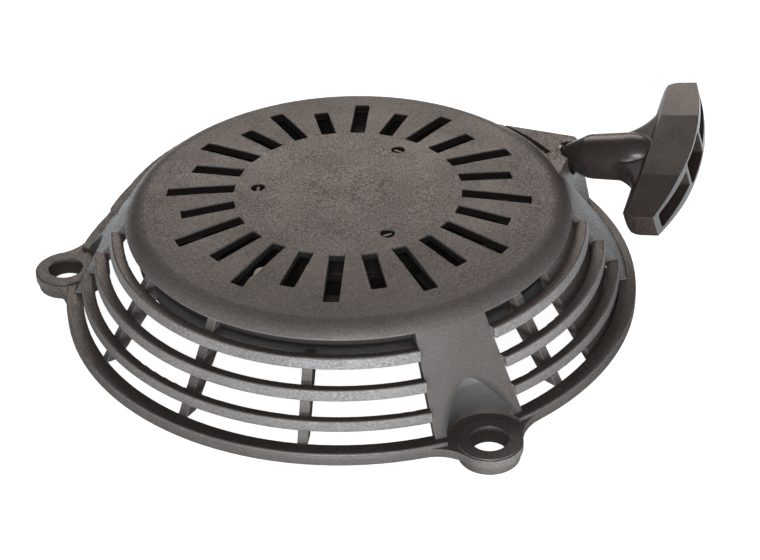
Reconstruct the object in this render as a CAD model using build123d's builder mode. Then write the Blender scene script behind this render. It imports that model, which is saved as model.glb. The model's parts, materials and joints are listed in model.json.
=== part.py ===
from build123d import *
import os
from math import atan2, cos, degrees, hypot, pi, radians, sin, sqrt, tan

# Recoil starter for a vertical-shaft mower engine. Millimetres, +Z up. The origin is on the
# reel's axis, in the plane of the three bolt pads, and the engine is below that plane.

os.makedirs("parts", exist_ok=True)

# ---- driving dimensions ---------------------------------------------------------------------

# bolt ears
bolt_spacing = 160.0                            # hole to hole
bolt_circle_r = bolt_spacing / sqrt(3)
ear_angles = [60, 180, 300]
bolt_hole_r = 5.5
ear_r = 9.7
pad_r = 9.0
ear_fillet_r = 13.0                             # between each ear and the flange, in plan
seat_r = 9.2
ear_bottom_z = 2.7
ear_top_z = 5.4
seat_top_z = 5.8
bowl_r = 12.0                                   # clearance for a socket round each bolt
bowl_wall = 2.0

# domed top and the skirt round the reel
dome_top_z = 38.6
dome_sphere_r = 495.0
dome_wall = 2.5
dome_edge_r = 63.3
shoulder_r = 69.3
shoulder_z = 31.1
skirt_outer_r = 66.4
skirt_inner_r = 64.2
skirt_bottom_z = 20.5

# slots in the dome
slot_inner_r = 35.35
slot_long_outer_r = 56.8
slot_short_outer_r = 52.0
slot_width = 4.7
slot_corner_r = 0.5
window_circle_r = 28.0
window_r = 2.2

# conical cage: radius as a function of height
cone_top_z = 30.9
cone_top_r = 69.64
cone_slope = 0.726                              # growth of radius for each millimetre down
flange_r = 90.2
flange_inner_r = 85.2
flange_top_z = 6.7
panel_half_angle = 9.2
panel_wall = 3.3
solid_band_start = 0.3                          # solid panel from here to the 60 degree ear
backing_start = -27.0                           # closed wall behind the rings from here
rib_angles = [94.4, 120.0, 145.6, 214.4, 240.0, 265.6, 320.7]
low_rib_angles = [94.4, 265.6]                  # these stop at the top ring
rib_width = 3.0
rib_recess = 2.7
rib_depth = 4.4

# rope, reel and outlet
rope_d = 3.6
rope_r = rope_d / 2
reel_flange_r = 60.0
groove_root_r = 48.6
groove_bottom_z = 20.5
groove_top_z = 29.1
reel_flange_t = 1.3
rope_line_r = 54.3                              # radius at which the rope leaves the reel
rope_start_z = 24.8
outlet_angle = -15.8                            # direction of the rope duct seen from above
duct_top_z = 32.0
duct_wall = 2.2
eyelet_r = 3.0

# pull grip, placed by the middle of its nose's tip and the direction of the pull
grip_tip = (67.1, 37.1, 28.9)
grip_azimuth = -18.6
grip_elevation = 11.3
grip_roll = 15.8
grip_bar_length = 60.5
grip_end_t = 8.2
grip_mid_t = 11.2
grip_front_x = 26.8                             # front of the bar at mid thickness
grip_shoulder_x = 30.7                          # front of the bar's two broad faces
grip_rear_end_x = 38.3
grip_rear_mid_x = 44.2
grip_crease_y = 13.3
grip_wall = 1.6
grip_rib_y = 7.5
grip_bore_r = 2.1
grip_knot_r = 3.7
anchor_x = 28.6                                 # seat of the anchor washer
chamber_r = 4.5                                 # round chamber of the washer and the knot
pocket_x = 33.0                                 # floor of the hollow back

# centre post, sleeve, washer and screw
post_r = 8.0
post_bottom_z = 12.6
sleeve_bottom_z = 8.4
sleeve_r = 6.0
sleeve_flange_r = 10.2                          # holds the reel up on the post
sleeve_flange_t = 0.75
screw_r = 2.9
screw_bore_r = 3.0
washer_t = 1.2
washer_r = 10.5
screw_head_t = 3.6

hub_r = 12.0                                    # hub of the reel, inside the recoil spring

# recoil spring and its cup
cup_inner_r = 30.0
cup_wall = 1.0
cup_lip_r = 33.0
cup_lip_z = 26.0
cup_top_z = 34.9
spring_strip_t = 0.5
spring_strip_h = 6.0
spring_bottom_z = 27.4
spring_outer_r = 29.3
spring_pitch = 1.2
spring_half_turns = 26

# ratchet
pawl_circle_r = 16.5
pawl_post_r = 2.5
pawl_bottom_z = 13.8
pawl_top_z = 18.0
pawl_length = 15.0
pawl_rest_angle = -4.0
pawl_swing = 35.0
peg_distance = 9.0
peg_r = 1.5
guide_r = 26.0
guide_bottom_z = 9.0
guide_top_z = 11.1
guide_turn = 30.0
running_gap = 0.05


# ---- shared geometry ------------------------------------------------------------------------

def cone_r(z):
    """Outer radius of the cage's solid panels at height z."""
    return cone_top_r + cone_slope * (cone_top_z - z)


def dome_z(r):
    """Height of the dome's outer surface at radius r."""
    return dome_top_z - dome_sphere_r + sqrt(dome_sphere_r**2 - r**2)


def radial_plane(angle):
    """Plane through the Z axis whose x runs outwards at an angle and whose y is up."""
    a = radians(angle)
    return Plane(origin=(0, 0, 0), x_dir=(cos(a), sin(a), 0), z_dir=(sin(a), -cos(a), 0))


def polar(radius, angle, z=0.0):
    """Point at a radius, an angle in degrees and a height."""
    return (radius * cos(radians(angle)), radius * sin(radians(angle)), z)


def save(part, name):
    """Label a finished piece and write it to its own file."""
    part.label = name
    export_step(part, f"parts/{name}.step")


a = radians(outlet_angle)
duct_x = Vector(cos(a), sin(a), 0)              # along the rope's way out, seen from above
duct_y = Vector(-sin(a), cos(a), 0)             # away from the reel's axis


def duct_plane(z):
    """Level plane at height z whose x runs along the rope duct."""
    return Plane(origin=(0, 0, z), x_dir=duct_x, z_dir=(0, 0, 1))


az = radians(grip_azimuth)
el = radians(grip_elevation)
roll = radians(grip_roll)
pull_direction = Vector(cos(el) * cos(az), cos(el) * sin(az), sin(el))
level_side = Vector(-sin(az), cos(az), 0)
grip_up = pull_direction.cross(level_side) * cos(roll) - level_side * sin(roll)
grip_plane = Plane(origin=grip_tip, x_dir=pull_direction, z_dir=grip_up)


def grip_section(x):
    """Plane across the grip at a distance x behind the tip of its nose."""
    return Plane(
        origin=grip_plane.from_local_coords((x, 0, 0)),
        x_dir=grip_plane.y_dir,
        z_dir=grip_plane.x_dir,
    )


# ---- starter case ---------------------------------------------------------------------------

# Everything under the cage's conical surface, used to trim what is added behind its panels.
with BuildPart() as cone_inside:
    with BuildSketch(Plane.XZ):
        with BuildLine():
            Polyline(
                (0, 0),
                (cone_r(0) - 0.4, 0),
                (cone_r(cone_top_z) - 0.4, cone_top_z),
                (0, cone_top_z),
                close=True,
            )
        make_face()
    revolve(axis=Axis.Z)

# Wall round each ear's socket clearance, cut off by the cone.
with BuildPart() as bowl_walls:
    with BuildSketch(Plane.XY.offset(ear_bottom_z)):
        with PolarLocations(bolt_circle_r, 3, start_angle=ear_angles[0]):
            Circle(bowl_r + bowl_wall)
    extrude(amount=20)
    add(cone_inside.part, mode=Mode.INTERSECT)

# Rope outlet box: a drafted block round the rope's line, trimmed to stand outside the skirt.
duct_front_top = 57.2
duct_front_bottom = 62.2
duct_side_top = 62.0
duct_side_bottom = 65.9
duct_bevel = 1.6
gap_shift = 5.35                                # makes the gap beside the shoulder narrower at one end
inner_y = 36.0
inner_x = 20.0


def duct_outline(front, side, bevel, back, inner):
    """Outline of the box at one height, with its outer front corner bevelled."""
    Polyline(
        (back, inner),
        (front, inner),
        (front, side - bevel),
        (front - bevel, side),
        (back, side),
        close=True,
    )


with BuildPart() as duct_block:
    with BuildSketch(duct_plane(ear_bottom_z)):
        with BuildLine():
            duct_outline(duct_front_bottom, duct_side_bottom, duct_bevel, inner_x, inner_y)
        make_face()
    with BuildSketch(duct_plane(duct_top_z)):
        with BuildLine():
            duct_outline(duct_front_top, duct_side_top, duct_bevel, inner_x, inner_y)
        make_face()
    loft()
    with BuildSketch(Plane.XY):
        Circle(skirt_outer_r - 0.5)
    extrude(amount=60, mode=Mode.SUBTRACT)

# Space inside the box, open below, which leaves its top, its outer wall and a thick front.
with BuildPart() as duct_space:
    with BuildSketch(duct_plane(-1)):
        with BuildLine():
            duct_outline(duct_front_bottom - 2.4, duct_side_bottom - duct_wall + 0.4, duct_bevel,
                         inner_x, inner_y)
        make_face()
    with BuildSketch(duct_plane(duct_top_z - duct_wall)):
        with BuildLine():
            duct_outline(duct_front_top - 7.5, duct_side_top - duct_wall, duct_bevel,
                         inner_x, inner_y)
        make_face()
    loft()

ring_profiles = [
    [(70.0, 27.05), (73.85, 28.0), (74.8, 24.8), (70.9, 24.8)],
    [(75.5, 20.0), (79.6, 21.1), (80.2, 17.7), (76.3, 17.7)],
    [(80.5, 12.8), (84.3, 13.7), (84.85, 10.5), (81.2, 10.5)],
]

with BuildPart() as starter_case:
    # dome, shoulder and skirt
    with BuildSketch(Plane.XZ):
        with BuildLine():
            top = ThreePointArc(
                (0, dome_top_z),
                (dome_edge_r / 2, dome_z(dome_edge_r / 2)),
                (dome_edge_r, dome_z(dome_edge_r)),
            )
            TangentArc((dome_edge_r, dome_z(dome_edge_r)), (shoulder_r, shoulder_z), tangent=top % 1)
            Polyline(
                (shoulder_r, shoulder_z),
                (shoulder_r - 0.5, shoulder_z - 0.7),
                (skirt_outer_r, shoulder_z - 2.4),
                (skirt_outer_r, skirt_bottom_z),
                (skirt_inner_r, skirt_bottom_z),
                (skirt_inner_r, shoulder_z - 2.0),
                (dome_edge_r - 1.5, dome_z(dome_edge_r) - dome_wall),
            )
            ThreePointArc(
                (dome_edge_r - 1.5, dome_z(dome_edge_r) - dome_wall),
                (dome_edge_r / 2, dome_z(dome_edge_r / 2) - dome_wall),
                (0, dome_top_z - dome_wall),
            )
            Line((0, dome_top_z - dome_wall), (0, dome_top_z))
        make_face()
    revolve(axis=Axis.Z)

    # three cage rings, with softened edges
    for profile in ring_profiles:
        with BuildSketch(Plane.XZ):
            with BuildLine():
                Polyline(*profile, close=True)
            make_face()
            fillet(vertices().sort_by(Axis.X)[0], radius=0.9)
            fillet(vertices().group_by(Axis.Y)[-1], radius=0.5)
        revolve(axis=Axis.Z)

    # solid panels at the ears and beside the outlet, where the rings stop
    for start, arc in (
        (solid_band_start, 60 + panel_half_angle - solid_band_start),
        (180 - panel_half_angle, 2 * panel_half_angle),
        (300 - panel_half_angle, 2 * panel_half_angle),
    ):
        with BuildSketch(radial_plane(start)):
            with BuildLine():
                Polyline(
                    (shoulder_r + 0.5, cone_top_z),
                    (shoulder_r + 0.5, flange_top_z),
                    (flange_r, flange_top_z),
                    (flange_r, cone_top_z),
                    close=True,
                )
            make_face()
        revolve(axis=Axis.Z, revolution_arc=arc, mode=Mode.SUBTRACT)
        with BuildSketch(radial_plane(start)):
            with BuildLine():
                Polyline(
                    (shoulder_r, shoulder_z),
                    (cone_r(ear_bottom_z), ear_bottom_z),
                    (cone_r(ear_bottom_z) - panel_wall, ear_bottom_z),
                    (skirt_outer_r - 0.5, cone_top_z - 1.2),
                    (skirt_outer_r - 0.5, shoulder_z),
                    close=True,
                )
            make_face()
        revolve(axis=Axis.Z, revolution_arc=arc)

    # closed wall behind the rings next to the solid band
    with BuildSketch(radial_plane(backing_start)):
        with BuildLine():
            Polyline(
                (cone_r(cone_top_z) - 1.6, cone_top_z - 0.5),
                (cone_r(ear_bottom_z) - 4.6, ear_bottom_z),
                (cone_r(ear_bottom_z) - 7.0, ear_bottom_z),
                (skirt_outer_r - 0.5, cone_top_z - 4.0),
                (skirt_outer_r - 0.5, cone_top_z - 1.2),
                close=True,
            )
        make_face()
    revolve(axis=Axis.Z, revolution_arc=solid_band_start - backing_start)

    # upright ribs that carry the rings
    for angle in rib_angles:
        with BuildSketch(radial_plane(angle)):
            with BuildLine():
                Polyline(
                    (skirt_outer_r - 0.6, shoulder_z - 1.6),
                    (shoulder_r - 0.8, shoulder_z - 0.9),
                    (cone_r(flange_top_z - 1) - rib_recess, flange_top_z - 1),
                    (cone_r(flange_top_z - 1) - rib_recess - rib_depth, flange_top_z - 1),
                    (skirt_outer_r - 0.6, shoulder_z - 7.5),
                    close=True,
                )
            make_face()
            if angle in low_rib_angles:
                with Locations(((skirt_outer_r + shoulder_r) / 2, shoulder_z - 2.6)):
                    Rectangle(2 * rib_depth, 7, mode=Mode.SUBTRACT)
        extrude(amount=rib_width / 2, both=True)

    # flange
    with BuildSketch(Plane.XZ):
        with BuildLine():
            Polyline(
                (flange_inner_r, ear_bottom_z),
                (flange_inner_r - 0.4, flange_top_z - 1),
                (flange_r - 0.1, flange_top_z),
                (flange_r, ear_bottom_z),
                close=True,
            )
        make_face()
        fillet(vertices().group_by(Axis.Y)[-1], radius=0.5)
    revolve(axis=Axis.Z)

    # bolt ears, blended into the flange, and the walls of the socket clearances
    with BuildSketch(Plane.XY.offset(ear_bottom_z)):
        Circle(flange_r)
        with PolarLocations(bolt_circle_r, 3, start_angle=ear_angles[0]):
            Circle(ear_r)
        fillet(vertices(), radius=ear_fillet_r)
        Circle(flange_inner_r, mode=Mode.SUBTRACT)
    extrude(amount=ear_top_z - ear_bottom_z)
    add(bowl_walls.part)
    add(duct_block.part)
    for angle in ear_angles:
        ear_axis = Vector(*polar(bolt_circle_r, angle))
        ear_plane = radial_plane(angle)
        ear_plane.origin = ear_axis
        with BuildSketch(ear_plane):
            with BuildLine():
                Line((bowl_r, ear_top_z), (bowl_r, 12.5))
                ThreePointArc((bowl_r, 12.5), (bowl_r + 0.7, 15.8), (bowl_r + 1.9, 18.75))
                Polyline(
                    (bowl_r + 1.9, 18.75),
                    (bowl_r + 1.9, cone_top_z),
                    (0, cone_top_z),
                    (0, ear_top_z),
                    (bowl_r, ear_top_z),
                )
            make_face()
        revolve(axis=Axis(origin=ear_axis, direction=(0, 0, 1)), mode=Mode.SUBTRACT)
    with BuildSketch(Plane.XY.offset(ear_top_z)):
        with PolarLocations(bolt_circle_r, 3, start_angle=ear_angles[0]):
            Circle(seat_r)
    extrude(amount=seat_top_z - ear_top_z)
    with BuildSketch(Plane.XY):
        with PolarLocations(bolt_circle_r, 3, start_angle=ear_angles[0]):
            Circle(pad_r)
    extrude(amount=ear_bottom_z)
    with BuildSketch(Plane.XY):
        with PolarLocations(bolt_circle_r, 3, start_angle=ear_angles[0]):
            Circle(bolt_hole_r)
    extrude(amount=10, mode=Mode.SUBTRACT)

    # rope outlet box: hollow below, its way in from the reel and the tapered gap beside the shoulder
    add(duct_space.part, mode=Mode.SUBTRACT)
    with BuildSketch(duct_plane(21.4)):
        with Locations((40, rope_line_r)):
            Rectangle(32, 9)
    extrude(amount=8.2, mode=Mode.SUBTRACT)
    with BuildSketch(Plane.XY.offset(duct_top_z - 3.5)):
        with BuildLine():
            Polyline((0, 0), polar(95, 28.6)[:2], polar(95, 52)[:2], close=True)
        make_face()
        with Locations(polar(gap_shift, -31)[:2]):
            Circle(shoulder_r - 0.37, mode=Mode.INTERSECT)
        Circle(shoulder_r, mode=Mode.SUBTRACT)
    extrude(amount=7, mode=Mode.SUBTRACT)

    # seat of the eyelet and the cup that the grip's nose rests in
    with BuildSketch(grip_section(-9)):
        Circle(eyelet_r + 0.05)
    extrude(amount=9, mode=Mode.SUBTRACT)
    with BuildSketch(grip_section(-1.2)):
        Circle(4.4)
    with BuildSketch(grip_section(9)):
        Circle(8.3)
    loft(mode=Mode.SUBTRACT)

    # slots and the three windows
    for count_start, outer in ((0, slot_long_outer_r), (15, slot_short_outer_r)):
        with BuildSketch(Plane.XY.offset(30)):
            with PolarLocations((slot_inner_r + outer) / 2, 12, start_angle=count_start):
                RectangleRounded(outer - slot_inner_r, slot_width, slot_corner_r)
        extrude(amount=12, mode=Mode.SUBTRACT)
    with BuildSketch(Plane.XY.offset(30)):
        with PolarLocations(window_circle_r, 3, start_angle=ear_angles[0]):
            Circle(window_r)
    extrude(amount=12, mode=Mode.SUBTRACT)

    # centre post with its screw bore
    with BuildSketch(Plane.XY.offset(post_bottom_z)):
        Circle(post_r)
    extrude(amount=dome_top_z - 1 - post_bottom_z)
    with BuildSketch(Plane.XY.offset(cup_top_z)):
        Circle(post_r + 5)
    extrude(amount=dome_top_z - 1 - cup_top_z)
    with BuildSketch(Plane.XY.offset(post_bottom_z)):
        Circle(screw_bore_r)
    extrude(amount=16, mode=Mode.SUBTRACT)
save(starter_case.part, "starter_case")

# ---- rope outlet eyelet ---------------------------------------------------------------------

with BuildPart() as rope_eyelet:
    with BuildSketch(grip_plane):
        with BuildLine():
            Polyline(
                (-6.8, 2.7),
                (-6.8, eyelet_r),
                (-1.2, eyelet_r),
                (-1.2, 3.7),
                (-0.4, 3.3),
                (-0.4, 2.7),
                (-1.4, 2.15),
                (-6.0, 2.15),
                close=True,
            )
        make_face()
    revolve(axis=Axis(origin=grip_tip, direction=pull_direction))
save(rope_eyelet.part, "rope_eyelet")

# ---- spring cup and recoil spring -----------------------------------------------------------

with BuildPart() as spring_cup:
    with BuildSketch(Plane.XZ):
        with BuildLine():
            Polyline(
                (post_r + 0.3, cup_top_z - cup_wall),
                (post_r + 0.3, cup_top_z),
                (cup_inner_r + cup_wall, cup_top_z),
                (cup_inner_r + cup_wall, cup_lip_z + cup_wall),
                (cup_lip_r, cup_lip_z + cup_wall),
                (cup_lip_r, cup_lip_z),
                (cup_inner_r, cup_lip_z),
                (cup_inner_r, cup_top_z - cup_wall),
                close=True,
            )
        make_face()
        fillet(vertices().sort_by_distance((cup_inner_r + cup_wall, cup_top_z))[0], radius=0.9)
    revolve(axis=Axis.Z)
    # tabs that stand in the dome's three windows
    with BuildSketch(Plane.XY.offset(cup_top_z - 0.5)):
        with PolarLocations(window_circle_r, 3, start_angle=ear_angles[0]):
            Rectangle(0.9, 2.8)
    extrude(amount=dome_z(window_circle_r) - cup_top_z)
    # slot that the spring's outer end hooks through
    with BuildSketch(radial_plane(0)):
        with Locations((cup_inner_r + cup_wall / 2, spring_bottom_z + spring_strip_h / 2)):
            Rectangle(3, spring_strip_h + 0.8)
    extrude(amount=0.8, both=True, mode=Mode.SUBTRACT)
save(spring_cup.part, "spring_cup")

with BuildPart() as recoil_spring:
    with BuildSketch(Plane.XY.offset(spring_bottom_z)):
        with BuildLine():
            # Half circles about two centres, each half a pitch smaller than the one before.
            half = spring_strip_t / 2
            first_r = spring_outer_r - half
            last_x = first_r - spring_half_turns * spring_pitch / 2
            for side in (half, -half):
                for turn in range(spring_half_turns):
                    odd = turn % 2
                    radius = first_r - turn * spring_pitch / 2 + side
                    CenterArc((-odd * spring_pitch / 2, 0), radius, -180 * odd, 180)
            # hooked ends: one through the cup's wall, one in the slot of the reel's hub
            Polyline(
                (first_r - half, 0),
                (first_r - half, -spring_strip_t),
                (cup_inner_r + cup_wall + 0.7, -spring_strip_t),
                (cup_inner_r + cup_wall + 0.7, 0),
                (first_r + half, 0),
            )
            Polyline(
                (last_x + half, 0),
                (last_x + half, spring_strip_t),
                (hub_r - 0.8, spring_strip_t),
                (hub_r - 0.8, 0),
                (last_x - half, 0),
            )
        make_face()
    extrude(amount=spring_strip_h)
save(recoil_spring.part, "recoil_spring")

# ---- reel -----------------------------------------------------------------------------------

reel_bottom_z = groove_bottom_z - reel_flange_t
reel_top_z = groove_top_z + reel_flange_t
rim_inner_r = groove_root_r - 2.2
lower_hub_r = 10.4
hub_top_z = 33.4
hub_bottom_z = 12.75
lower_hub_top_z = 18.4
web_bottom_z = 23.4
web_top_z = 25.4
knot_angle = -120.5
knot_r = 43.6
reel_knot_r = 3.3
knot_z = 30.2
tail_z = 31.0

with BuildPart() as reel:
    with BuildSketch(Plane.XZ):
        with BuildLine():
            bore = post_r + running_gap
            Polyline(
                (bore, hub_bottom_z),
                (bore, hub_top_z),
                (hub_r, hub_top_z),
                (hub_r, web_top_z),
                (rim_inner_r, web_top_z),
                (rim_inner_r, reel_top_z),
                (reel_flange_r, reel_top_z),
                (reel_flange_r, reel_top_z - 0.9),
                (groove_root_r, groove_top_z),
                (groove_root_r, groove_bottom_z),
                (reel_flange_r, reel_bottom_z + 0.9),
                (reel_flange_r, reel_bottom_z),
                (rim_inner_r, reel_bottom_z),
                (rim_inner_r, web_bottom_z),
                (hub_r, web_bottom_z),
                (hub_r, lower_hub_top_z),
                (lower_hub_r, lower_hub_top_z),
                (lower_hub_r, hub_bottom_z),
                close=True,
            )
        make_face()
    revolve(axis=Axis.Z)
    # stiffening ribs under the web
    with BuildSketch(Plane.XY.offset(reel_bottom_z + 0.6)):
        with PolarLocations((hub_r + rim_inner_r) / 2, 8, start_angle=22.5):
            Rectangle(rim_inner_r - hub_r + 1, 2)
    extrude(amount=web_bottom_z - reel_bottom_z)
    # posts that the pawls turn on
    with BuildSketch(Plane.XY.offset(pawl_bottom_z - 0.4)):
        with PolarLocations(pawl_circle_r, 2, start_angle=90):
            Circle(pawl_post_r)
    extrude(amount=web_bottom_z - pawl_bottom_z + 1)
    # rib on the upper flange, seen through the slots
    with BuildSketch(Plane.XY.offset(reel_top_z - 0.5)):
        with Locations(Location(polar(50, -57), (0, 0, -57))):
            SlotOverall(12, 2.6)
    extrude(amount=2.3)
    # pocket of the rope's end: a notch over the rim and two cheeks beside the knot
    with BuildSketch(Plane.XY.offset(tail_z - rope_r - 1.0)):
        with Locations(Location(polar(50, knot_angle), (0, 0, knot_angle))):
            Rectangle(11, rope_d + 0.8)
    extrude(amount=6, mode=Mode.SUBTRACT)
    with BuildSketch(Plane.XY.offset(web_top_z - 0.2)):
        for side in (-1, 1):
            cheek_angle = knot_angle + side * 7.4
            with Locations(Location(polar(knot_r + 2.2, cheek_angle), (0, 0, knot_angle))):
                Rectangle(5.4, 1.6)
    extrude(amount=5)
    # slot that holds the spring's inner end
    with BuildSketch(Plane.XY.offset(web_top_z)):
        with Locations((hub_r, 0)):
            Rectangle(2.4, 1.2)
    extrude(amount=12, mode=Mode.SUBTRACT)
save(reel.part, "reel")

# ---- rope -----------------------------------------------------------------------------------

with BuildPart() as rope_coil:
    with BuildSketch(Plane.XZ):
        with BuildLine():
            Polyline(
                (groove_root_r + 0.1, groove_bottom_z + 0.5),
                (rope_line_r - rope_r - 0.2, groove_bottom_z + 0.5),
                (rope_line_r - rope_r - 0.2, groove_top_z - 0.5),
                (groove_root_r + 0.1, groove_top_z - 0.5),
                close=True,
            )
        make_face()
    revolve(axis=Axis.Z)
save(rope_coil.part, "rope_coil")

with BuildPart() as rope_reel_knot:
    with Locations(polar(knot_r, knot_angle, knot_z)):
        Sphere(reel_knot_r)
    with BuildSketch(Plane(origin=polar(knot_r, knot_angle, tail_z), z_dir=polar(1, knot_angle))):
        Circle(rope_r)
    extrude(amount=8.5)
save(rope_reel_knot.part, "rope_reel_knot")

rope_start = duct_y * rope_line_r + Vector(0, 0, rope_start_z)
rope_bend = grip_plane.from_local_coords((-6.0, 0, 0))
rope_end = Vector(*grip_tip)
last_run = (rope_end - rope_bend).length
bend_turn = (rope_bend - rope_start).get_angle(rope_end - rope_bend)
bend_radius = 0.45 * last_run / tan(radians(bend_turn / 2))
print("rope bend radius", round(bend_radius, 1), "turn", round(bend_turn, 2))

with BuildPart() as rope_run:
    with BuildLine() as rope_path:
        FilletPolyline(rope_start, rope_bend, rope_end, radius=bend_radius)
    with BuildSketch(Plane(origin=rope_start, z_dir=rope_bend - rope_start)):
        Circle(rope_r)
    sweep(path=rope_path.line)
rope_length = sum(edge.length for edge in rope_path.edges())
print("rope run volume", rope_run.part.volume, "by length", pi * rope_r**2 * rope_length)
save(rope_run.part, "rope_run")

with BuildPart() as grip_rope:
    with BuildSketch(grip_section(0)):
        Circle(rope_r)
    extrude(amount=anchor_x + 1.2)
save(grip_rope.part, "grip_rope")

with BuildPart() as rope_grip_knot:
    with Locations(Location(grip_plane.from_local_coords((anchor_x + 1.2 + grip_knot_r, 0, 0)))):
        Sphere(grip_knot_r)
    with BuildSketch(grip_section(anchor_x + 1.2)):
        Circle(rope_r + 0.6)
    extrude(amount=2)
save(rope_grip_knot.part, "rope_grip_knot")

# ---- pull grip ------------------------------------------------------------------------------

grip_axis = Axis(origin=grip_tip, direction=pull_direction)
half_bar = grip_bar_length / 2

# Web that spreads the stem into the bar, with rounded edges.
with BuildPart() as grip_web:
    with BuildSketch(grip_plane.offset(-4.2)):
        with BuildLine():
            Line((18, -7.0), (18, 7.0))
            ThreePointArc((18, 7.0), (24.9, 11.5), (28.3, 24))
            Polyline((28.3, 24), (31.0, 24), (31.0, -24), (28.3, -24))
            ThreePointArc((28.3, -24), (24.9, -11.5), (18, -7.0))
        make_face()
    extrude(amount=8.4)
    fillet(grip_web.edges().filter_by(GeomType.CIRCLE), radius=2.0)

with BuildPart() as starter_grip:
    # bar: crescent outline, thinner towards its ends
    with BuildSketch(grip_plane.offset(-grip_mid_t / 2)):
        with BuildLine():
            Polyline(
                (grip_rear_end_x, -half_bar),
                (grip_front_x - 0.3, -half_bar),
                (grip_front_x - 0.3, half_bar),
                (grip_rear_end_x, half_bar),
            )
            ThreePointArc(
                (grip_rear_end_x, half_bar),
                (grip_rear_mid_x, 0),
                (grip_rear_end_x, -half_bar),
            )
        make_face()
        fillet(vertices().group_by(Axis.X)[0], radius=6.5)
    extrude(amount=grip_mid_t)
    with BuildSketch(grip_section(grip_front_x - 5)):
        with BuildLine():
            Polyline(
                (-half_bar, -grip_end_t / 2),
                (-grip_crease_y, -grip_mid_t / 2),
                (grip_crease_y, -grip_mid_t / 2),
                (half_bar, -grip_end_t / 2),
                (half_bar, grip_end_t / 2),
                (grip_crease_y, grip_mid_t / 2),
                (-grip_crease_y, grip_mid_t / 2),
                (-half_bar, grip_end_t / 2),
                close=True,
            )
        make_face()
    extrude(amount=40, mode=Mode.INTERSECT)
    with BuildSketch(Plane(origin=grip_tip, x_dir=grip_plane.x_dir, z_dir=grip_plane.y_dir)):
        with BuildLine():
            ThreePointArc((28.4, -3.6), (grip_front_x, 0), (28.4, 3.6))
            Polyline(
                (28.4, 3.6),
                (grip_shoulder_x, grip_mid_t / 2),
                (grip_rear_mid_x + 1, grip_mid_t / 2),
                (grip_rear_mid_x + 1, -grip_mid_t / 2),
                (grip_shoulder_x, -grip_mid_t / 2),
                (28.4, -3.6),
            )
        make_face()
    extrude(amount=half_bar + 1, both=True, mode=Mode.INTERSECT)
    add(grip_web.part)
    # nose and stem
    with BuildSketch(grip_plane):
        with BuildLine():
            Polyline(
                (0, 0),
                (0, 2.9),
                (1.2, 4.0),
                (8.4, 7.0),
                (10.0, 7.25),
                (22.0, 7.85),
            )
            ThreePointArc((22.0, 7.85), (26.9, 7.0), (30.5, 5.2))
            Polyline((30.5, 5.2), (36.0, 5.0), (36.0, 0), (0, 0))
        make_face()
    revolve(axis=grip_axis)
    # hollow back with two cross ribs, the knot's chamber and the rope's bore
    with BuildSketch(grip_section(pocket_x)):
        Rectangle(grip_bar_length - 2 * grip_wall - 1.4, grip_end_t - 2 * grip_wall + 0.9)
        fillet(vertices(), radius=1.2)
        for side in (-1, 1):
            with Locations((side * (grip_rib_y + 0.7), 0)):
                Rectangle(1.4, grip_mid_t, mode=Mode.SUBTRACT)
    extrude(amount=20, mode=Mode.SUBTRACT)
    with BuildSketch(grip_section(pocket_x)):
        RectangleRounded(2 * grip_rib_y, grip_mid_t - 2.2, 1.2)
    extrude(amount=20, mode=Mode.SUBTRACT)
    with BuildSketch(grip_section(anchor_x)):
        Circle(chamber_r)
    extrude(amount=10, mode=Mode.SUBTRACT)
    with BuildSketch(grip_section(-1)):
        Circle(grip_bore_r)
    extrude(amount=anchor_x + 2, mode=Mode.SUBTRACT)
save(starter_grip.part, "starter_grip")

with BuildPart() as grip_washer:
    with BuildSketch(grip_section(anchor_x)):
        Circle(chamber_r - 0.15)
        Circle(rope_r + 0.1, mode=Mode.SUBTRACT)
    extrude(amount=1.1)
save(grip_washer.part, "grip_washer")

# ---- ratchet --------------------------------------------------------------------------------


def pawl_frame(index, angle):
    """Plane on the bottom of a pawl, at its pivot, with x along its arm."""
    turn = 180 * index
    direction = polar(1, pawl_rest_angle + angle + turn)
    return Plane(origin=polar(pawl_circle_r, 90 + turn, pawl_bottom_z), x_dir=direction,
                 z_dir=(0, 0, 1))


def build_pawl(index):
    """One pawl: an arm with a bevelled driving tip, its bore and the peg below it."""
    frame_plane = pawl_frame(index, 0)
    with BuildPart() as pawl:
        with BuildSketch(frame_plane):
            Circle(4.9)
            with BuildLine():
                Polyline(
                    (0, -3.6),
                    (pawl_length - 3.0, -2.4),
                    (pawl_length, 0.4),
                    (pawl_length - 0.6, 3.4),
                    (pawl_length - 4.5, 3.4),
                    (0, 4.9),
                    close=True,
                )
            make_face()
        extrude(amount=pawl_top_z - pawl_bottom_z)
        fillet(pawl.edges().filter_by(Axis.Z).sort_by(SortBy.DISTANCE)[-1:], radius=0.5)
        with BuildSketch(frame_plane):
            Circle(pawl_post_r + running_gap)
        extrude(amount=10, mode=Mode.SUBTRACT)
        with BuildSketch(frame_plane.offset(-(pawl_bottom_z - guide_bottom_z) + 0.3)):
            with Locations((peg_distance, 0)):
                Circle(peg_r)
        extrude(amount=pawl_bottom_z - guide_bottom_z)
    return pawl.part


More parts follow.
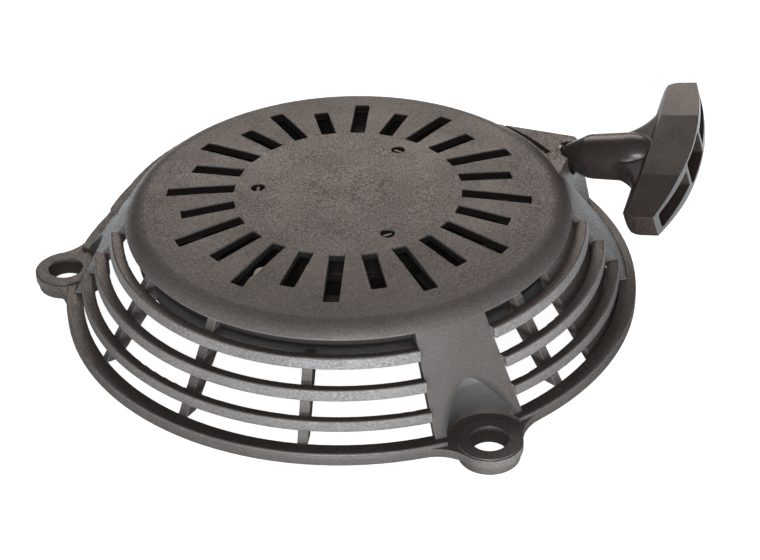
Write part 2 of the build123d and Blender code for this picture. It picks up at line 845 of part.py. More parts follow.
def build_pawl_spring(index):
    """Torsion spring over a pawl: closed coils round the post, a leg on the pawl's side and
    a leg against a rib of the reel."""
    wire = 0.7
    coil_bottom_z = pawl_top_z + 0.35
    coil_top_z = coil_bottom_z + 3 * wire
    turn = 180 * index
    centre = Vector(*polar(pawl_circle_r, 90 + turn, 0))
    outer = pawl_post_r + 0.5 + wire
    with BuildPart() as spring:
        with BuildSketch(Plane(origin=centre + Vector(0, 0, coil_bottom_z), z_dir=(0, 0, 1))):
            Circle(outer)
            Circle(outer - wire, mode=Mode.SUBTRACT)
        extrude(amount=coil_top_z - coil_bottom_z)
        for leg_z, leg_angle, side, leg_length in (
            (coil_bottom_z + 0.4, pawl_rest_angle + turn, 90, 8.5),
            (coil_top_z - 0.4, 202.5 + turn, -90, 5.2),
        ):
            across = Vector(*polar(outer - 0.45, leg_angle + side, leg_z))
            along = Vector(*polar(1, leg_angle, 0))
            with BuildSketch(Plane(origin=centre + across, z_dir=along)):
                Circle(0.33)
            extrude(amount=leg_length)
    return spring.part


for pawl_index, letter in enumerate("ab"):
    save(build_pawl(pawl_index), f"pawl_{letter}")
    save(build_pawl_spring(pawl_index), f"pawl_spring_{letter}")


def peg_in_guide(share):
    """Where a pawl's peg stands on the guide, for a share of the guide's turn, pawl a."""
    arm = radians(pawl_rest_angle + share * pawl_swing)
    x = peg_distance * cos(arm)
    y = pawl_circle_r + peg_distance * sin(arm)
    angle = atan2(y, x) - radians(share * guide_turn)
    radius = sqrt(x * x + y * y)
    return (radius * cos(angle), radius * sin(angle))


friction_wire = 0.6
friction_r = sleeve_r + running_gap + friction_wire / 2
friction_z = guide_top_z + friction_wire / 2 + 0.05
leg_end = polar(hypot(friction_r, 7), 340 + degrees(atan2(7, friction_r)), friction_z)

with BuildPart() as ratchet_guide:
    with BuildSketch(Plane.XY.offset(guide_bottom_z)):
        Circle(guide_r)
    extrude(amount=guide_top_z - guide_bottom_z)
    # stiffening rim and a collar round the sleeve
    with BuildSketch(Plane.XY.offset(guide_bottom_z - 0.5)):
        Circle(sleeve_r + 2.6)
    extrude(amount=guide_top_z - guide_bottom_z)
    fillet(ratchet_guide.edges().filter_by(GeomType.CIRCLE).sort_by(SortBy.RADIUS)[-2:], radius=0.6)
    # curved slots that the pawls' pegs ride in
    with BuildSketch(Plane.XY.offset(guide_bottom_z - 2)):
        with BuildLine():
            peg_path = ThreePointArc(peg_in_guide(0), peg_in_guide(0.5), peg_in_guide(1))
        with PolarLocations(0, 2):
            SlotArc(peg_path, 2 * (peg_r + 0.45))
    extrude(amount=10, mode=Mode.SUBTRACT)
    with BuildSketch(Plane.XY.offset(guide_bottom_z - 2)):
        Circle(sleeve_r + running_gap)
        with Locations((leg_end[0], leg_end[1])):
            Circle(0.5)
    extrude(amount=10, mode=Mode.SUBTRACT)
save(ratchet_guide.part, "ratchet_guide")

# Open wire ring that grips the sleeve above the guide, its leg hooked into the guide.
with BuildPart() as friction_spring:
    with BuildLine() as friction_path:
        loop = CenterArc((0, 0, friction_z), friction_r, 20, 320)
        Line(loop @ 1, leg_end)
    with BuildSketch(Plane(origin=loop @ 0, z_dir=loop % 0)):
        Circle(friction_wire / 2)
    sweep(path=friction_path.line)
    with BuildSketch(Plane(origin=leg_end, z_dir=(0, 0, -1))):
        Circle(friction_wire / 2 + 0.02)
    extrude(amount=1.6)
save(friction_spring.part, "friction_spring")

# ---- centre sleeve, washer and screw --------------------------------------------------------

with BuildPart() as centre_sleeve:
    with BuildSketch(Plane.XY.offset(sleeve_bottom_z)):
        Circle(sleeve_r)
        Circle(screw_bore_r, mode=Mode.SUBTRACT)
    extrude(amount=post_bottom_z - sleeve_bottom_z)
    with BuildSketch(Plane.XY.offset(post_bottom_z - sleeve_flange_t)):
        Circle(sleeve_flange_r)
        Circle(sleeve_r - 0.5, mode=Mode.SUBTRACT)
    extrude(amount=sleeve_flange_t)
    chamfer(centre_sleeve.edges().filter_by(GeomType.CIRCLE).sort_by(SortBy.RADIUS)[-2:], length=0.2)
save(centre_sleeve.part, "centre_sleeve")

with BuildPart() as retainer_washer:
    with BuildSketch(Plane.XY.offset(sleeve_bottom_z - washer_t)):
        Circle(washer_r)
        Circle(screw_bore_r, mode=Mode.SUBTRACT)
    extrude(amount=washer_t)
    chamfer(retainer_washer.edges().filter_by(GeomType.CIRCLE).sort_by(SortBy.RADIUS)[-2:], length=0.2)
save(retainer_washer.part, "retainer_washer")

screw_seat_z = sleeve_bottom_z - washer_t
with BuildPart() as centre_screw:
    with BuildSketch(Plane.XY.offset(screw_seat_z)):
        Circle(screw_r)
    extrude(amount=20)
    chamfer(centre_screw.edges().group_by(Axis.Z)[-1], length=0.6)
    with BuildSketch(Plane.XY.offset(screw_seat_z)):
        Circle(6.6)
    extrude(amount=-1.0)
    with BuildSketch(Plane.XY.offset(screw_seat_z - 1.0)):
        RegularPolygon(5.0, 6, major_radius=False)
    extrude(amount=-(screw_head_t - 1.0))
    chamfer(centre_screw.faces().sort_by(Axis.Z)[0].edges(), length=0.5)
save(centre_screw.part, "centre_screw")
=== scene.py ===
import bpy
import json
import math
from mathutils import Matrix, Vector


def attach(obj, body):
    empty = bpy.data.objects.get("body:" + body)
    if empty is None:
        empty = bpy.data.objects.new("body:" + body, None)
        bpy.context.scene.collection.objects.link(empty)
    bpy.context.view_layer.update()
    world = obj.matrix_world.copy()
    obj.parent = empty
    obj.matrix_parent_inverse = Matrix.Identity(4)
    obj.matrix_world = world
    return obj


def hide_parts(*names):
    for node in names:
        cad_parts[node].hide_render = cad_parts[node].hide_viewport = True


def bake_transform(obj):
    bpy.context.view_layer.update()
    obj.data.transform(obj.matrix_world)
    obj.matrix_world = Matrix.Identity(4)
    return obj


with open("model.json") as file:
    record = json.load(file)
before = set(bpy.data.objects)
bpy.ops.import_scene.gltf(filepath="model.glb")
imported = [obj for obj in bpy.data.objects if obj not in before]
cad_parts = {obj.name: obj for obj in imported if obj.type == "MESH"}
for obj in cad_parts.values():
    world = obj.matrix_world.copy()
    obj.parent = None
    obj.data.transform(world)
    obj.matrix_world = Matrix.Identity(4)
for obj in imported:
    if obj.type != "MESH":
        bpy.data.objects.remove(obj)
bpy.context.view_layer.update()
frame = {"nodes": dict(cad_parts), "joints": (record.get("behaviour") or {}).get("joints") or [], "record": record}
MM = 0.001


def clamp01(x):
    return max(0.0, min(1.0, x))


def colour(r, g, b):
    return (r, g, b, 1.0)


WHITE = colour(1.0, 1.0, 1.0)


# ---- camera and light --------------------------------------------------------------------------

LENS = 90.9                                  # millimetres
SENSOR_WIDTH = 36.0                          # millimetres
CAMERA_PLACE = (0.05419, -0.50113, 0.35266)
CAMERA_TURN = (55.261, 1.320, 4.215)         # degrees
AMBIENT = 0.16
SKY_BELOW = (0.35, colour(0.10, 0.10, 0.11))
SKY_ABOVE = (0.85, WHITE)

camera_data = bpy.data.cameras.new("camera")
camera_data.sensor_width = SENSOR_WIDTH
camera_data.lens = LENS
camera = bpy.data.objects.new("camera", camera_data)
camera.location = CAMERA_PLACE
camera.rotation_euler = [math.radians(a) for a in CAMERA_TURN]
bpy.context.scene.collection.objects.link(camera)
bpy.context.scene.camera = camera
bpy.context.scene.view_settings.view_transform = "Standard"
bpy.context.scene.view_settings.look = "None"

# The camera sees a white backdrop. The part is lit by a dim sky, darker below than above.
world = bpy.data.worlds.new("studio")
bpy.context.scene.world = world
world.use_nodes = True
sky = world.node_tree
ambient = sky.nodes["Background"]
ambient.inputs["Strength"].default_value = AMBIENT
ramp = sky.nodes.new("ShaderNodeValToRGB")
for stop, (position, tone) in zip(ramp.color_ramp.elements, (SKY_BELOW, SKY_ABOVE)):
    stop.color = tone
    stop.position = position
split = sky.nodes.new("ShaderNodeSeparateXYZ")
half = sky.nodes.new("ShaderNodeMath")
half.operation = "MULTIPLY_ADD"
half.inputs[1].default_value = 0.5
half.inputs[2].default_value = 0.5
backdrop = sky.nodes.new("ShaderNodeBackground")
backdrop.inputs["Color"].default_value = WHITE
choose = sky.nodes.new("ShaderNodeMixShader")
sky.links.new(sky.nodes.new("ShaderNodeTexCoord").outputs["Generated"], split.inputs[0])
sky.links.new(split.outputs["Z"], half.inputs[0])
sky.links.new(half.outputs[0], ramp.inputs["Fac"])
sky.links.new(ramp.outputs["Color"], ambient.inputs["Color"])
sky.links.new(sky.nodes.new("ShaderNodeLightPath").outputs["Is Camera Ray"], choose.inputs["Fac"])
sky.links.new(ambient.outputs[0], choose.inputs[1])
sky.links.new(backdrop.outputs[0], choose.inputs[2])
sky.links.new(choose.outputs[0], sky.nodes["World Output"].inputs["Surface"])


def soft_box(name, azimuth, elevation, distance, size, power, tint):
    """A soft box in that direction from the origin, facing it. Angles are in degrees."""
    data = bpy.data.lights.new(name, "AREA")
    data.shape = "RECTANGLE"
    data.size, data.size_y = size
    data.energy = power
    data.color = tint
    a, e = math.radians(azimuth), math.radians(elevation)
    direction = Vector((math.cos(e) * math.cos(a), math.cos(e) * math.sin(a), math.sin(e)))
    lamp = bpy.data.objects.new(name, data)
    lamp.location = direction * distance
    lamp.rotation_euler = direction.to_track_quat("Z", "Y").to_euler()
    bpy.context.scene.collection.objects.link(lamp)


soft_box("back_box", 95, 32, 1.5, (1.1, 0.7), 8.8, (1.0, 0.88, 0.80))
soft_box("front_fill", 275, 37, 1.4, (0.5, 0.35), 8.0, (1.0, 0.96, 0.92))
soft_box("front_strip", 272, 5, 1.4, (1.2, 0.12), 28.0, (0.82, 0.92, 1.0))


# ---- node helpers ------------------------------------------------------------------------------

class Nodes:
    """Short calls for building one node material."""

    def __init__(self, name):
        self.material = bpy.data.materials.new(name)
        self.material.use_nodes = True
        self.tree = self.material.node_tree
        self.shader = self.tree.nodes["Principled BSDF"]

    def add(self, kind, inputs=None, **settings):
        node = self.tree.nodes.new(kind)
        for key, value in settings.items():
            setattr(node, key, value)
        for key, value in (inputs or {}).items():
            if isinstance(value, bpy.types.NodeSocket):
                self.tree.links.new(value, node.inputs[key])
            else:
                node.inputs[key].default_value = value
        return node

    def link(self, source, key):
        self.tree.links.new(source, self.shader.inputs[key])

    def place(self):
        return self.add("ShaderNodeTexCoord").outputs["Object"]

    def stretched(self, scale):
        return self.add("ShaderNodeMapping", {"Vector": self.place(), "Scale": scale}).outputs[0]

    def noise(self, scale, detail=3.0, rough=0.55, vector=None):
        node = self.add("ShaderNodeTexNoise", {
            "Vector": vector or self.place(), "Scale": scale, "Detail": detail, "Roughness": rough})
        return node.outputs["Fac"]

    def math(self, operation, a, b):
        return self.add("ShaderNodeMath", {0: a, 1: b}, operation=operation).outputs[0]

    def span(self, value, low, high, to_low=0.0, to_high=1.0):
        """Maps value from low..high to to_low..to_high, held inside that range."""
        node = self.add("ShaderNodeMapRange", {
            "Value": value, "From Min": low, "From Max": high, "To Min": to_low, "To Max": to_high})
        return node.outputs["Result"]

    def mix(self, share, a, b):
        """Colour a where share is 0 and colour b where it is 1."""
        node = self.add("ShaderNodeMix", data_type="RGBA")
        sockets = (node.inputs["Factor"], node.inputs[6], node.inputs[7])
        for socket, value in zip(sockets, (share, a, b)):
            if isinstance(value, bpy.types.NodeSocket):
                self.tree.links.new(value, socket)
            else:
                socket.default_value = value
        return node.outputs[2]

    def edge(self, radius, low=0.02, high=0.25):
        """1 along sharp edges, 0 on flat faces."""
        bevel = self.add("ShaderNodeBevel", {"Radius": radius}, samples=6).outputs["Normal"]
        true = self.add("ShaderNodeNewGeometry").outputs["Normal"]
        dot = self.add("ShaderNodeVectorMath", {0: bevel, 1: true}, operation="DOT_PRODUCT")
        return self.span(self.math("SUBTRACT", 1.0, dot.outputs["Value"]), low, high)

    def bump(self, height, strength, distance, normal=None):
        inputs = {"Height": height, "Strength": strength, "Distance": distance}
        if normal is not None:
            inputs["Normal"] = normal
        return self.add("ShaderNodeBump", inputs).outputs["Normal"]


# Where shade is painted on the case. Each pair of lengths is the start and the end of a fade.
DOME_TOP = 38.6 * MM                     # height of the middle of the disc
DOME_SPHERE = 495.0 * MM                 # radius of the disc's slight dome
SLOTS_WITHIN = 59.0 * MM                 # radius round all the slots
SLOT_TOP = (0.25 * MM, 0.7 * MM)         # depths under the dome
SLOT_FOOT = (2.40 * MM, 2.46 * MM)       # depths under the dome
SKIRT_INSIDE = (65.5 * MM, 66.0 * MM)    # radii
SKIRT_OUTSIDE = (66.5 * MM, 67.5 * MM)   # radii
SKIRT_TOP = (29.0 * MM, 31.5 * MM)       # heights
SKIRT_SHADE_SHARE = 0.85
EAR_ANGLES = (60, 180, 300)
BOWL_EDGE = (12.6 * MM, 14.0 * MM)       # distances from an ear's axis
BOWL_FOOT = (5.0 * MM, 8.0 * MM)         # heights
BOWL_SHADE_SHARE = 0.75
# Near black of the painted shade.
PAINTED_SHADE_TONE = colour(0.004, 0.003, 0.003)
ears = next(mount for mount in frame["record"]["mounts"] if mount["name"] == "ears")
EAR_CIRCLE = ears["dims"]["pcd_mm"] / 2 * MM


def painted_shade_share(n):
    """Share of painted shade on the case: 1 on the walls of the disc's slots, less on the skirt below the disc's
    edge and in the bowls above the ears, and 0 elsewhere."""
    flat = n.add("ShaderNodeVectorMath", {0: n.place(), 1: (1.0, 1.0, 0.0)}, operation="MULTIPLY")
    from_axis_squared = n.add("ShaderNodeVectorMath", {0: flat.outputs[0], 1: flat.outputs[0]},
                              operation="DOT_PRODUCT").outputs["Value"]
    height = n.add("ShaderNodeSeparateXYZ", {0: n.place()}).outputs["Z"]
    drop = n.math("DIVIDE", from_axis_squared, 2 * DOME_SPHERE)
    dome = n.math("SUBTRACT", DOME_TOP, drop)
    depth = n.math("SUBTRACT", dome, height)
    # Painted shade on the slot walls, from just under the disc's top down to its underside.
    wall = n.math("MULTIPLY", n.span(depth, *SLOT_TOP), n.span(depth, *SLOT_FOOT, 1.0, 0.0))
    wall = n.math("MULTIPLY", wall, n.math("LESS_THAN", from_axis_squared, SLOTS_WITHIN ** 2))
    # Painted shade on the skirt under the disc's edge, fading out towards its top.
    inside = [radius ** 2 for radius in SKIRT_INSIDE]
    outside = [radius ** 2 for radius in SKIRT_OUTSIDE]
    within = n.span(from_axis_squared, *outside, 1.0, 0.0)
    within = n.math("MULTIPLY", within, n.span(from_axis_squared, *inside))
    skirt = n.math("MULTIPLY", within, n.span(height, *SKIRT_TOP, SKIRT_SHADE_SHARE, 0.0))
    dark = n.math("MAXIMUM", wall, skirt)
    from_ear = 1.0
    for angle in EAR_ANGLES:
        a = math.radians(angle)
        ear = (EAR_CIRCLE * math.cos(a), EAR_CIRCLE * math.sin(a), 0.0)
        offset = n.add("ShaderNodeVectorMath", {0: flat.outputs[0], 1: ear}, operation="DISTANCE")
        from_ear = n.math("MINIMUM", from_ear, offset.outputs["Value"])
    # Painted shade in the bowls above the ears, fading out towards their rims.
    bowl = n.math("MULTIPLY", n.span(from_ear, *BOWL_EDGE, BOWL_SHADE_SHARE, 0.0),
                  n.span(height, *BOWL_FOOT))
    return n.math("MAXIMUM", dark, bowl)


def plastic(name, base, light, rough, grain, sheen_edge=0.35, speckle=0.35, shine=0.5,
            shade_painted=False):
    """Moulded plastic: fine grain, cloudy and speckled colour, and paler edges, partly wear and partly a painted
    highlight. The case's also has painted shade on its slot walls, its skirt and in its ear bowls."""
    n = Nodes(name)
    cloud = n.noise(22.0, 4.0, 0.6)
    fine = n.noise(1700.0, 2.0, 0.7)
    body = n.mix(n.span(cloud, 0.35, 0.7), base, light)
    dark = [0.45 * c for c in base[:3]] + [1.0]
    pale = [min(1.0, c * 1.9 + 0.004) for c in light[:3]] + [1.0]
    body = n.mix(n.span(fine, 0.34, 0.50, 0.6 * speckle, 0.0), body, dark)
    body = n.mix(n.span(fine, 0.50, 0.68, 0.0, 0.6 * speckle), body, pale)
    # Paler edges in patches: partly wear, partly a painted highlight.
    wear_and_highlight = n.math("MULTIPLY", n.edge(0.0005), n.span(n.noise(160.0, 4.0), 0.35, 0.65))
    bright = [min(1.0, c * 2.4 + 0.03) for c in light[:3]] + [1.0]
    body = n.mix(n.math("MULTIPLY", wear_and_highlight, sheen_edge), body, bright)
    change = 0.22 * speckle
    level = n.math("ADD", n.span(n.noise(60.0, 5.0), 0.3, 0.7, rough - 0.06, rough + 0.07),
                   n.span(fine, 0.36, 0.64, change, -change))
    # Painted shade: near black, and rougher, on the case's slot walls, skirt and ear bowls.
    if shade_painted:
        shade_share = painted_shade_share(n)
        body = n.mix(shade_share, body, PAINTED_SHADE_TONE)
        level = n.math("MAXIMUM", level, shade_share)
    n.link(body, "Base Color")
    n.link(level, "Roughness")
    n.shader.inputs["Specular IOR Level"].default_value = shine
    soft = n.add("ShaderNodeBevel", {"Radius": 0.00035}, samples=6).outputs["Normal"]
    normal = n.bump(n.noise(2300.0, 2.0), grain, 0.00006, soft)
    normal = n.bump(n.noise(90.0, 2.0), 0.12, 0.0002, normal)
    n.link(normal, "Normal")
    return n.material


def steel(name, base, rough, brushed=(1.0, 1.0, 1.0), stain=0.25):
    """Bare or plated steel: fine marks, patches of tarnish and bright edges. brushed squeezes
    the marks along x, y and z."""
    n = Nodes(name)
    lines = n.noise(900.0, 3.0, vector=n.stretched(brushed))
    patch = n.span(n.noise(70.0, 5.0, 0.65), 0.4, 0.72)
    dark = [c * 0.55 for c in base[:3]] + [1.0]
    body = n.mix(n.math("MULTIPLY", patch, stain), base, dark)
    body = n.mix(n.span(lines, 0.3, 0.7, 0.0, 0.25), body, dark)
    bright = [min(1.0, c * 1.35) for c in base[:3]] + [1.0]
    body = n.mix(n.math("MULTIPLY", n.edge(0.0002), 0.6), body, bright)
    n.link(body, "Base Color")
    n.link(n.math("ADD", n.span(lines, 0.3, 0.7, rough - 0.06, rough + 0.1),
                  n.span(patch, 0.0, 1.0, 0.0, 0.12)), "Roughness")
    soft = n.add("ShaderNodeBevel", {"Radius": 0.00012}, samples=6).outputs["Normal"]
    n.link(n.bump(lines, 0.25, 0.00002, soft), "Normal")
    n.shader.inputs["Metallic"].default_value = 1.0
    return n.material


def rope_material(name, base, shade):
    """Braided cord: fine fibres, grubby patches and a soft sheen."""
    n = Nodes(name)
    fibre = n.noise(2600.0, 3.0, vector=n.stretched((1.0, 1.0, 0.35)))
    grime = n.span(n.noise(140.0, 4.0, 0.6), 0.42, 0.7, 0.0, 0.6)
    body = n.mix(n.span(fibre, 0.35, 0.7, 0.0, 0.45), base, shade)
    body = n.mix(grime, body, shade)
    n.link(body, "Base Color")
    n.link(n.span(fibre, 0.3, 0.7, 0.62, 0.85), "Roughness")
    n.link(n.bump(fibre, 0.6, 0.0001), "Normal")
    n.shader.inputs["Sheen Weight"].default_value = 0.25
    n.shader.inputs["Sheen Roughness"].default_value = 0.5
    return n.material


finishes = {
    # The case's plastic has shade painted on its slot walls, its skirt and in its ear bowls.
    "case_plastic": plastic("case_plastic", colour(0.046, 0.037, 0.033), colour(0.066, 0.054, 0.048),
                            0.47, grain=0.75, speckle=0.7, shade_painted=True),
    "grip_plastic": plastic("grip_plastic", colour(0.017, 0.012, 0.010), colour(0.026, 0.019, 0.016),
                            0.30, grain=0.12, sheen_edge=0.25, speckle=0.3),
    "reel_plastic": plastic("reel_plastic", colour(0.014, 0.013, 0.013), colour(0.020, 0.019, 0.019),
                            0.60, grain=0.3, shine=0.12),
    "guide_plastic": plastic("guide_plastic", colour(0.030, 0.027, 0.025), colour(0.044, 0.040, 0.037),
                             0.45, grain=0.3),
    "rope": rope_material("rope", colour(0.70, 0.63, 0.52), colour(0.42, 0.36, 0.28)),
    "eyelet_steel": steel("eyelet_steel", colour(0.50, 0.49, 0.46), 0.34),
    "cup_steel": steel("cup_steel", colour(0.13, 0.12, 0.115), 0.5),
    "spring_steel": steel("spring_steel", colour(0.34, 0.35, 0.37), 0.30, (1.0, 1.0, 6.0)),
    "screw_steel": steel("screw_steel", colour(0.62, 0.60, 0.55), 0.30),
    "pawl_steel": steel("pawl_steel", colour(0.44, 0.44, 0.45), 0.38),
}

for entry in frame["record"]["subparts"]:
    node = frame["nodes"][entry["node"]]
    node.data.materials.clear()
    node.data.materials.append(finishes[entry["material_slot"]])


# ---- wire and rope -----------------------------------------------------------------------------

ROPE_R = 1.8 * MM
TAIL_R = 1.7 * MM
WIRE_R = 0.32 * MM
STRANDS = 6                  # strands each way in the braid
STITCH = 2.4 * MM            # length of one stitch along the rope
ROUND = 30                   # points round the rope
RING_STEP = 0.6 * MM
CAP = ((0.80, 0.42), (0.42, 0.70))       # a rounded end's rings: share of the radius, and rise
CAP_TIP = 0.8                            # the rise of its tip
TWO_TURNS = 720.0                        # degrees


def smooth(points, rounds):
    """Rounds a line's corners by cutting each one off, keeping its two ends."""
    for _ in range(rounds):
        cut = [points[0]]
        for p, q in zip(points, points[1:]):
            cut += [p.lerp(q, 0.25), p.lerp(q, 0.75)]
        points = cut + [points[-1]]
    return points


def spaced(points, step):
    """The same line with a point at every step of its length."""
    line = [points[0]]
    left = step
    for p, q in zip(points, points[1:]):
        length = (q - p).length
        at = left
        while at < length:
            line.append(p.lerp(q, at / length))
            at += step
        left = at - length
    if (points[-1] - line[-1]).length > 0.3 * step:
        line.append(points[-1])
    return line


def tube(name, line, radius, around, relief=None, stations=None):
    """A closed tube with rounded ends along a line. relief(turn, station) scales its radius, a
    turn being a share of the way round and a station a length along the tube."""
    if stations is None:
        stations = [0.0]
        for p, q in zip(line, line[1:]):
            stations.append(stations[-1] + (q - p).length)
    last = len(line) - 1
    verts, faces = [], []
    side = None
    for i, point in enumerate(line):
        along = (line[min(i + 1, last)] - line[max(i - 1, 0)]).normalized()
        if side is None:
            side = along.orthogonal()
        side = (side - along * side.dot(along)).normalized()
        other = along.cross(side)
        for j in range(around):
            turn = j / around
            r = radius * (relief(turn, stations[i]) if relief else 1.0)
            a = 2 * math.pi * turn
            verts.append(point + (side * math.cos(a) + other * math.sin(a)) * r)
        if i:
            base = (i - 1) * around
            for j in range(around):
                k = (j + 1) % around
                faces.append((base + j, base + k, base + around + k, base + around + j))
    for at, inner, first in ((0, 1, 0), (last, last - 1, last * around)):
        out = (line[at] - line[inner]).normalized()
        rim = list(range(first, first + around))
        for share, rise in CAP:
            ring = []
            for index in rim:
                offset = verts[index] - line[at]
                offset -= out * offset.dot(out)
                ring.append(len(verts))
                wanted = offset.normalized() * radius * share
                verts.append(line[at] + wanted + out * radius * rise)
            for j in range(around):
                k = (j + 1) % around
                quad = (rim[j], rim[k], ring[k], ring[j])
                faces.append(quad if at else quad[::-1])
            rim = ring
        verts.append(line[at] + out * radius * CAP_TIP)
        for j in range(around):
            k = (j + 1) % around
            tri = (rim[j], rim[k], len(verts) - 1)
            faces.append(tri if at else tri[::-1])
    mesh = bpy.data.meshes.new(name)
    mesh.from_pydata([tuple(v) for v in verts], [], faces)
    mesh.shade_smooth()
    piece = bpy.data.objects.new(name, mesh)
    bpy.context.scene.collection.objects.link(piece)
    return piece


def braid(turn, station):
    """Height of the strands: two sets of ridges that wind opposite ways and cross."""
    a = 2 * math.pi * STRANDS * turn
    b = 2 * math.pi * station / STITCH
    return 0.91 + 0.09 * max(math.sin(a + b), math.sin(a - b))


def finish(piece, body, slot, *nodes):
    """Gives a piece its material and the body that it rides on, if any, and hides the CAD nodes that it stands
    for."""
    piece.data.materials.append(finishes[slot])
    if body:
        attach(piece, body)
    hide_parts(*nodes)


def polar(radius, degrees, z):
    """Point at a radius, angle and height in millimetres."""
    a = math.radians(degrees)
    return Vector((radius * math.cos(a), radius * math.sin(a), z)) * MM


# The rope leaves the reel on a tangent, turns a little at the eyelet and runs straight into the
# grip. Pulling the grip out draws the straight stretch out. Lengths along it are from TIP.
grip_pull = next(joint for joint in frame["joints"] if joint["name"] == "grip_pull")
PULL = Vector(grip_pull["axis"]).normalized()
TRAVEL = grip_pull["range_m"][1]
TIP = Vector(grip_pull["pos_m"])
REEL_LINE = 54.3 * MM                    # the tangent's distance from the reel's axis
LEAVE_HEIGHT = 24.8 * MM
DUCT_ANGLE = math.radians(-15.8)         # the tangent's direction
CORNER_BEFORE = 6.0                      # millimetres before TIP
BEND = 2.7 * MM                          # length of the turn before its corner
STRETCH_FROM, STRETCH_TO = -3.2 * MM, 26.0 * MM
ROPE_END = 29.8 * MM
END_RINGS = 6
duct_out = Vector((math.cos(DUCT_ANGLE), math.sin(DUCT_ANGLE), 0.0))
leave = Vector((-duct_out.y, duct_out.x, 0.0)) * REEL_LINE + Vector((0.0, 0.0, LEAVE_HEIGHT))
corner = TIP - PULL * CORNER_BEFORE * MM

first_run = (corner - leave).normalized()
fixed = spaced(smooth([leave, corner - first_run * BEND, corner, TIP + PULL * STRETCH_FROM], 3),
               RING_STEP)[:-1]
rope_line, rope_stations = list(fixed), [RING_STEP * i for i in range(len(fixed))]
rings = int((TRAVEL + STRETCH_TO - STRETCH_FROM) / RING_STEP)
# These rings are crowded, and their stations count the grip's full travel, so that they would lie evenly along the
# stretch drawn out that far.
for i in range(rings + 1):
    drawn = i / rings
    share = 0.5 - math.sin(math.asin(1.0 - 2.0 * drawn) / 3.0)
    x = STRETCH_FROM + (STRETCH_TO - STRETCH_FROM) * share
    rope_line.append(TIP + PULL * x)
    rope_stations.append(RING_STEP * len(fixed) + (x - STRETCH_FROM) + TRAVEL * drawn)
for i in range(1, END_RINGS + 1):
    x = STRETCH_TO + (ROPE_END - STRETCH_TO) * i / END_RINGS
    rope_line.append(TIP + PULL * x)
    rope_stations.append(rope_stations[-1] + (ROPE_END - STRETCH_TO) / END_RINGS)
rope_piece = tube("starter_rope", rope_line, ROPE_R, ROUND, braid, rope_stations)
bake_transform(rope_piece)
finish(rope_piece, None, "rope", "rope_run", "grip_rope")


def overhand(centre, axis, ball, strand, depth):
    """Line of a tight overhand knot in a ball round centre: the rope comes in along axis, winds
    round it twice through its own loops and comes out the other side."""
    side = axis.orthogonal().normalized()
    other = axis.cross(side)
    k = (ball - strand) / 3.0
    points = [centre - axis * (ball - 0.3 * strand)]
    steps = 54
    gap = 0.25
    for i in range(steps):
        t = math.pi / 3 + gap + (2 * math.pi - 2 * gap) * i / (steps - 1)
        r = k * (2.0 + math.cos(3 * t))
        points.append(centre + (side * math.cos(2 * t) + other * math.sin(2 * t)) * r
                      + axis * depth * math.sin(3 * t))
    points.append(centre + axis * (ball - 0.9 * strand))
    return spaced(smooth(points, 2), 0.45 * MM)


def knot(name, centre, axis, ball, body, node):
    strand = 0.40 * ball
    line = overhand(centre, axis, ball, strand, 0.42 * ball)
    finish(tube(name, line, strand, ROUND, braid), body, "rope", node)


GRIP_KNOT_AT = 33.5          # millimetres beyond TIP
GRIP_KNOT_R = 3.7 * MM
knot("grip_knot", TIP + PULL * GRIP_KNOT_AT * MM, PULL, GRIP_KNOT_R, "grip", "rope_grip_knot")

# The rope's inner end: knotted behind the reel's rim, over the rim and down into the groove.
# Radii and heights are in millimetres, angles in degrees.
KNOT_ANGLE = -120.5
REEL_KNOT_R = 3.3 * MM
TAIL_HEIGHT = 31.0
COIL_RADIUS = 50.5
knot_out = polar(1.0, KNOT_ANGLE, 0.0).normalized()
knot("reel_knot", polar(43.6, KNOT_ANGLE, 30.2), knot_out, REEL_KNOT_R, "reel", "rope_reel_knot")
tail = [polar(44.6, KNOT_ANGLE, TAIL_HEIGHT), polar(49.4, KNOT_ANGLE, TAIL_HEIGHT),
        polar(COIL_RADIUS, KNOT_ANGLE, 29.9), polar(COIL_RADIUS, KNOT_ANGLE, 26.6)]
tail_piece = tube("reel_rope_tail", spaced(smooth(tail, 3), RING_STEP), TAIL_R, ROUND, braid)
finish(tail_piece, "reel", "rope", "rope_reel_knot")

# Turns of rope in the groove, the second above the first.
LOW_TURN, HIGH_TURN = 22.85, 26.75
COIL_START = KNOT_ANGLE + 8
COIL_STEPS = 240
COIL_RING_STEP = 1.2 * MM
COIL_ROUND = 24
CLIMB_FROM, CLIMB_OVER = 0.42, 0.16      # shares of the two turns
coil = []
for i in range(COIL_STEPS + 1):
    share = i / COIL_STEPS
    level = LOW_TURN + (HIGH_TURN - LOW_TURN) * clamp01((share - CLIMB_FROM) / CLIMB_OVER)
    coil.append(polar(COIL_RADIUS, COIL_START + TWO_TURNS * share, level))
coil_piece = tube("reel_rope_turns", spaced(coil, COIL_RING_STEP), ROPE_R, COIL_ROUND, braid)
finish(coil_piece, "reel", "rope", "rope_coil")


# ---- pawl springs ------------------------------------------------------------------------------

# Radii, heights and lengths are in millimetres, angles in degrees.
POST_RADIUS = 16.5           # the posts' distance from the reel's axis
POST_ANGLE = 90
FIRST_ANGLE, LAST_ANGLE = 86.0, 112.5    # where the turns start and end round a post
SPRING_RADIUS = 3.25
SPRING_LOW, SPRING_HIGH = 18.75, 20.05
PAWL_LEG, RIB_LEG = 8.5, 5.2
LEG_START = 0.6
SPRING_STEPS = 84
SPRING_ROUND = 12


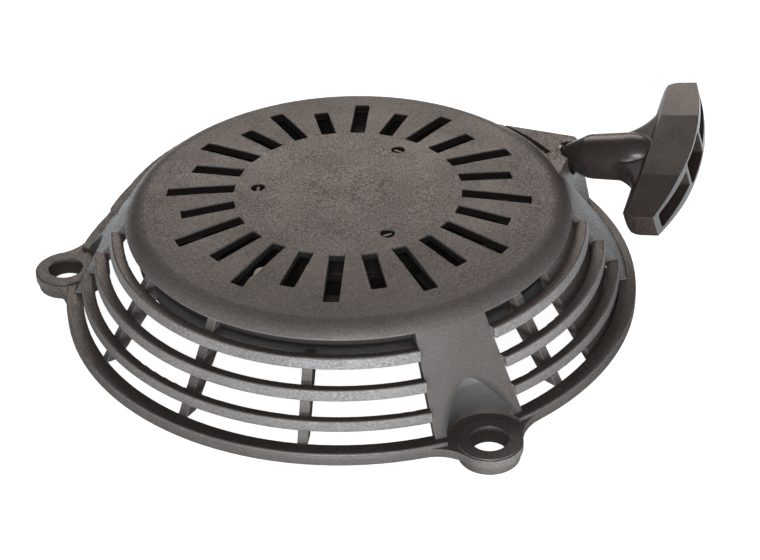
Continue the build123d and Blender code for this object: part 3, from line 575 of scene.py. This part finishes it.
def pawl_spring(letter, turn):
    """Torsion spring: a leg on the pawl, two turns round its post and a leg against a rib."""
    centre = polar(POST_RADIUS, POST_ANGLE + turn, 0.0)
    start, stop = FIRST_ANGLE + turn, LAST_ANGLE + turn + TWO_TURNS
    foot = centre + polar(SPRING_RADIUS, start, SPRING_LOW)
    line = [foot + polar(PAWL_LEG, start - 90, 0.0), foot + polar(LEG_START, start - 90, 0.0)]
    for i in range(SPRING_STEPS + 1):
        share = i / SPRING_STEPS
        line.append(centre + polar(SPRING_RADIUS, start + (stop - start) * share,
                                   SPRING_LOW + (SPRING_HIGH - SPRING_LOW) * share))
    line.append(line[-1] + polar(LEG_START, stop + 90, 0.0))
    line.append(line[-2] + polar(RIB_LEG, stop + 90, 0.0))
    piece = tube(f"torsion_spring_{letter}", line, WIRE_R, SPRING_ROUND)
    finish(piece, "reel", "spring_steel", f"pawl_spring_{letter}")


pawl_spring("a", 0)
pawl_spring("b", 180)


# ---- stage -------------------------------------------------------------------------------------

FLOOR_HALF = 4
FLOOR_DROP = 0.0002
FLOOR_SEEN = 0.93                        # the floor's brightness to the camera
GLOW = 9.0                               # its brightness to the part
GLOW_COLOUR = colour(0.86, 0.94, 1.0)
GLOW_STARTS = (0.096, 0.135)             # distances from the middle
GLOW_FADES = (0.30, 0.60)
GLOW_FAR_SHARE = 0.06
GLOW_FRONT = (0.2, -0.98, 0.0)           # the side where it is strongest
GLOW_TURNS = (0.02, 0.14)                # distances to that side
GLOW_BACK_SHARE = 0.17

corners = [(-FLOOR_HALF, -FLOOR_HALF, 0), (FLOOR_HALF, -FLOOR_HALF, 0),
           (FLOOR_HALF, FLOOR_HALF, 0), (-FLOOR_HALF, FLOOR_HALF, 0)]
floor_mesh = bpy.data.meshes.new("floor")
floor_mesh.from_pydata(corners, [], [(0, 1, 2, 3)])
floor = bpy.data.objects.new("floor", floor_mesh)
bpy.context.scene.collection.objects.link(floor)
floor.location.z = -FLOOR_DROP

# The camera sees a pale floor. To every other ray it is a glowing table, which lights the part
# from low down, most of all from the front.
top = Nodes("floor")
top.link(top.mix(top.noise(3.0, 3.0), colour(0.50, 0.50, 0.50), colour(0.53, 0.53, 0.53)), "Base Color")
top.shader.inputs["Roughness"].default_value = 0.8
from_middle = top.add("ShaderNodeVectorMath", {0: top.place()}, operation="LENGTH").outputs["Value"]
to_front = top.add("ShaderNodeVectorMath", {0: top.place(), 1: GLOW_FRONT},
                   operation="DOT_PRODUCT").outputs["Value"]
glow = top.math("MULTIPLY", top.span(from_middle, *GLOW_STARTS, 0.0, GLOW),
                top.span(to_front, *GLOW_TURNS, GLOW_BACK_SHARE, 1.0))
glow = top.math("MULTIPLY", glow, top.span(from_middle, *GLOW_FADES, 1.0, GLOW_FAR_SHARE))
seen = top.add("ShaderNodeLightPath").outputs["Is Camera Ray"]
top.link(top.mix(seen, GLOW_COLOUR, WHITE), "Emission Color")
strength = top.add("ShaderNodeMix", {0: seen, 2: glow, 3: FLOOR_SEEN})
top.link(strength.outputs[0], "Emission Strength")

# Seen from below the floor is clear, so the part's underside shows.
clear = top.add("ShaderNodeBsdfTransparent")
backfacing = top.add("ShaderNodeNewGeometry").outputs["Backfacing"]
pane = top.add("ShaderNodeMixShader", {
    0: top.math("MULTIPLY", seen, backfacing), 1: top.shader.outputs[0], 2: clear.outputs[0]})
top.tree.links.new(pane.outputs[0], top.tree.nodes["Material Output"].inputs["Surface"])
floor_mesh.materials.append(top.material)
